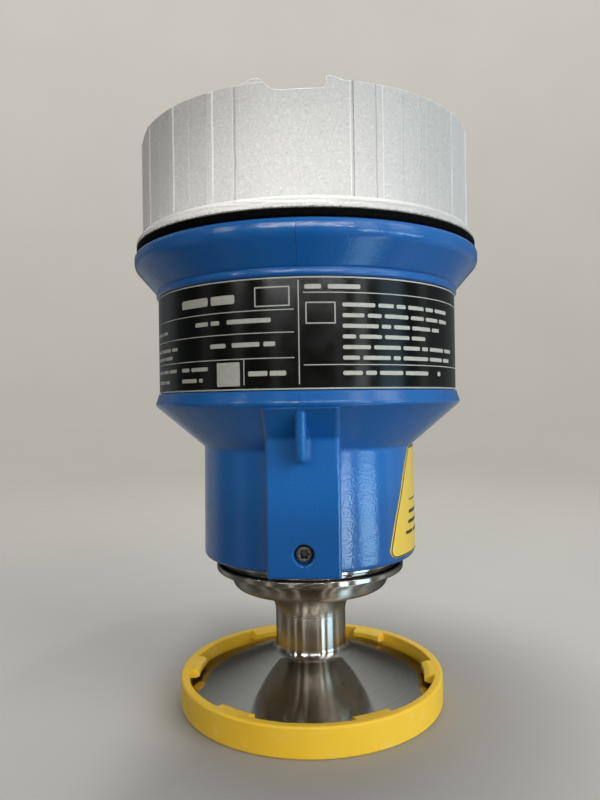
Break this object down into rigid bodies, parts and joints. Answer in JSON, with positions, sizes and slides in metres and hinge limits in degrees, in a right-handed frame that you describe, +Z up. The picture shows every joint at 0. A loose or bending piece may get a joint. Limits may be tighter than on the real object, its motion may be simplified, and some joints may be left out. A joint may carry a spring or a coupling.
{
  "type": "pressure transmitter",
  "caption": "Upright pressure transmitter: round blue housing with screw-on ribbed cover, nameplate band, swivel neck, hygienic clamp ferrule and push-on protective cap.",
  "frame": {"origin": "centre of the underside of the protective cap, on the common axis of cap, ferrule, housing and cover", "axes": "+Z up along the common axis, -Y to the front with the set screw and the middle of the nameplate, +Y to the cable gland at the back"},
  "size_m": [0.09, 0.113, 0.1464],
  "materials": {
    "cap_yellow": "moulded, semi-gloss yellow",
    "stainless": "fine turned stainless steel",
    "foil": "thin stainless foil",
    "blue_paint": "blue powder coat on die-cast aluminium",
    "silver_paint": "silver-grey textured coat on die-cast aluminium",
    "plate_black": "satin black foil plate",
    "label_yellow": "yellow film label, dark outline",
    "black_rubber": "matt black",
    "screw_steel": "stainless fastener",
    "nickel_brass": "nickel-plated",
    "black_plastic": "moulded black",
    "dark_plastic": "moulded dark grey",
    "pcb_green": "solder mask",
    "gold": "gold-plated contacts",
    "grey_plastic": "moulded grey",
    "key_grey": "light grey key",
    "switch_red": "red switch body",
    "slider_white": "white slider",
    "led_green": "clear green lens",
    "cable_grey": "grey jacket"
  },
  "bodies": {
    "protective_cap": {"protective_cap": "cap_yellow"},
    "process_connection": {"process_ferrule": "stainless", "process_diaphragm": "foil", "sensor_cell": "stainless", "sensor_pins": "gold", "sensor_board": "pcb_green", "sensor_socket": "black_plastic", "sensor_cable": "cable_grey", "swivel_oring": "black_rubber"},
    "housing": {"housing_base": "blue_paint", "housing_shell": "blue_paint", "nameplate": "plate_black", "side_label": "label_yellow", "set_screw": "screw_steel", "gland_body": "nickel_brass", "gland_washer": "black_rubber", "gland_seal": "black_rubber", "gland_nut": "nickel_brass", "vent_plug": "black_plastic", "ground_clamp": "screw_steel", "ground_screw": "screw_steel", "electronics_insert": "dark_plastic", "insert_screws": "screw_steel", "circuit_board": "pcb_green", "board_spacers": "grey_plastic", "board_components": "black_plastic", "sensor_plug": "black_plastic", "terminal_block": "grey_plastic", "terminal_cages": "nickel_brass", "terminal_screws": "screw_steel", "zero_key_dome": "foil", "span_key_dome": "foil", "switch_block": "switch_red", "status_led": "led_green", "display_connector": "black_plastic"},
    "cover_gasket": {"cover_gasket": "black_rubber"},
    "cover": {"cover": "silver_paint"},
    "zero_key": {"zero_key": "key_grey"},
    "span_key": {"span_key": "key_grey"},
    "lock_slider": {"lock_slider": "slider_white"},
    "damping_slider": {"damping_slider": "slider_white"}
  },
  "joints": [
    {"name": "lift_off_cap", "type": "slide", "parent": "protective_cap", "child": "process_connection", "axis": [0, 0, 1], "range_m": [0, 0.02], "deforming": ["protective_cap"]},
    {"name": "housing_swivel", "type": "hinge", "parent": "process_connection", "child": "housing", "pos_m": [0, 0, 0.046], "axis": [0, 0, 1], "range_deg": [-190, 190]},
    {"name": "cover_lift", "type": "slide", "parent": "housing", "child": "cover_gasket", "axis": [0, 0, 1], "range_m": [0, 0.00801]},
    {"name": "cover_turn", "type": "hinge", "parent": "cover_gasket", "child": "cover", "pos_m": [0, 0, 0.1184], "axis": [0, 0, 1], "range_deg": [0, 1440]},
    {"name": "zero_key_press", "type": "slide", "parent": "housing", "child": "zero_key", "axis": [0, 0, -1], "range_m": [0, 0.0006], "stiffness_N_per_m": 1500, "deforming": ["zero_key_dome"]},
    {"name": "span_key_press", "type": "slide", "parent": "housing", "child": "span_key", "axis": [0, 0, -1], "range_m": [0, 0.0006], "stiffness_N_per_m": 1500, "deforming": ["span_key_dome"]},
    {"name": "lock_slide", "type": "slide", "parent": "housing", "child": "lock_slider", "axis": [0, 1, 0], "range_m": [0, 0.0022]},
    {"name": "damping_slide", "type": "slide", "parent": "housing", "child": "damping_slider", "axis": [0, 1, 0], "range_m": [0, 0.0022]}
  ],
  "couplings": [
    {"joint": "cover_lift", "follows": "cover_turn", "m_per_rad": 0.00031831}
  ]
}
